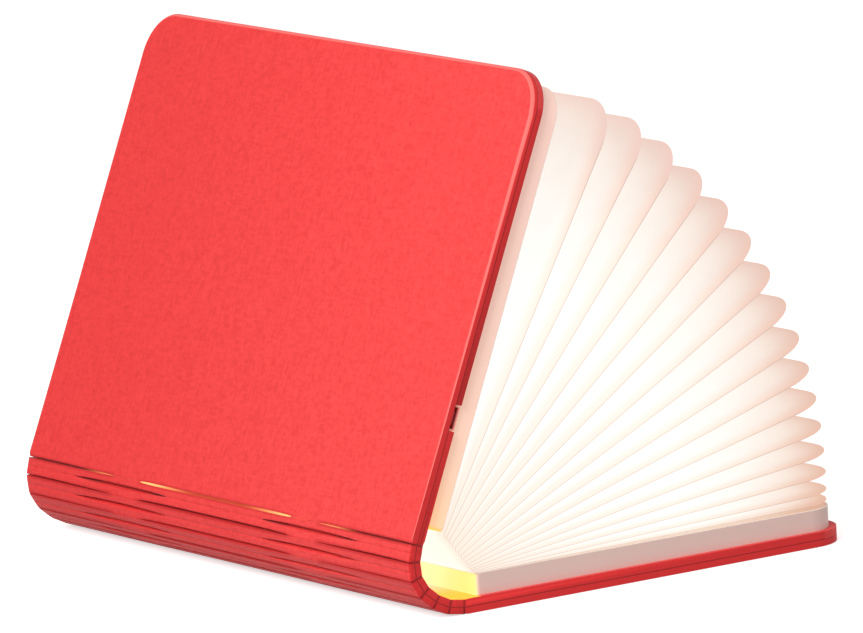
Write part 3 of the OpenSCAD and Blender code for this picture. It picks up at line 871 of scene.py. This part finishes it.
def light_room(scene):
    """Plain white room light with a white background, and two softboxes."""
    scene.world = scene.world or bpy.data.worlds.new("studio")
    n = Nodes("studio", scene.world)
    room = n.add("ShaderNodeBackground", {"Color": WHITE, "Strength": 0.34}).outputs[0]
    back = n.add("ShaderNodeBackground", {"Color": WHITE, "Strength": 1.0}).outputs[0]
    n.finish(n.add("ShaderNodeMixShader", {0: seen_directly(n), 1: room, 2: back}).outputs[0])
    soft_lamp("key_softbox", (-1.25, -0.55, 0.95), (0, 0, 0.07), (0.9, 0.9), 26.0)
    soft_lamp("fill_softbox", (0.9, -1.2, 0.6), (0, 0, 0.06), (1.0, 1.0), 4.0)


def place_camera(scene, s):
    """Aims the scene's camera at the lamp from its azimuth, elevation and distance."""
    az, el = s.azimuth, s.elevation
    back_dir = Vector((sin(az) * cos(el), -cos(az) * cos(el), sin(el)))
    right = (-back_dir).cross(Vector((0, 0, 1))).normalized()
    up = right.cross(-back_dir)
    right, up = (right * cos(s.roll) + up * sin(s.roll),
                 up * cos(s.roll) - right * sin(s.roll))
    middle = Vector((0.075 + FOLDS[0].x, 0, 0.075))
    data = bpy.data.cameras.new("camera")
    data.sensor_fit = 'HORIZONTAL'
    data.sensor_width = 36.0
    data.lens = data.sensor_width * s.focal
    data.clip_start, data.clip_end = 0.05, 50.0
    camera = bpy.data.objects.new("camera", data)
    scene.collection.objects.link(camera)
    m = Matrix((right, up, back_dir)).transposed().to_4x4()
    m.translation = middle + right * s.across + up * s.upward + back_dir * s.distance
    camera.matrix_world = m
    scene.camera = camera


class BOOKLAMP_OT_stage(bpy.types.Operator):
    """Sets the floor, soft studio light and camera"""
    bl_idname = "book_lamp.stage"
    bl_label = "Stage"

    def execute(self, context):
        scene = context.scene
        lay_floor(scene.book_lamp_stage)
        light_room(scene)
        place_camera(scene, scene.book_lamp_stage)
        scene.view_settings.view_transform = 'Standard'
        return {'FINISHED'}


class BOOKLAMP_PT_panel(bpy.types.Panel):
    """Lists the steps that dress the lamp"""
    bl_idname = "BOOKLAMP_PT_panel"
    bl_label = "Folding Book Lamp"
    bl_space_type = 'VIEW_3D'
    bl_region_type = 'UI'
    bl_category = "Book Lamp"

    def draw(self, context):
        layout = self.layout
        for key_group in GROUPS:
            group = getattr(context.scene, key_group)
            box = layout.box()
            for key in group.__annotations__:
                box.prop(group, key)
        for step in STEPS:
            layout.operator("book_lamp." + step)


STEPS = ("covers", "spine", "trays", "pages", "light", "power", "stage")
GROUPS = {"book_lamp_covers": BookLampCovers, "book_lamp_pages": BookLampPages,
          "book_lamp_trays": BookLampTrays, "book_lamp_light": BookLampLight,
          "book_lamp_stage": BookLampStage}
CLASSES = tuple(GROUPS.values()) + (
    BOOKLAMP_OT_covers, BOOKLAMP_OT_spine, BOOKLAMP_OT_trays, BOOKLAMP_OT_pages,
    BOOKLAMP_OT_light, BOOKLAMP_OT_power, BOOKLAMP_OT_stage, BOOKLAMP_PT_panel)


def register():
    for cls in CLASSES:
        bpy.utils.register_class(cls)
    for name, group in GROUPS.items():
        setattr(bpy.types.Scene, name, bpy.props.PointerProperty(type=group))


def unregister():
    for name in GROUPS:
        delattr(bpy.types.Scene, name)
    for cls in reversed(CLASSES):
        bpy.utils.unregister_class(cls)


def main():
    register()
    for step in STEPS:
        getattr(bpy.ops.book_lamp, step)()


if __name__ == "__main__":
    main()
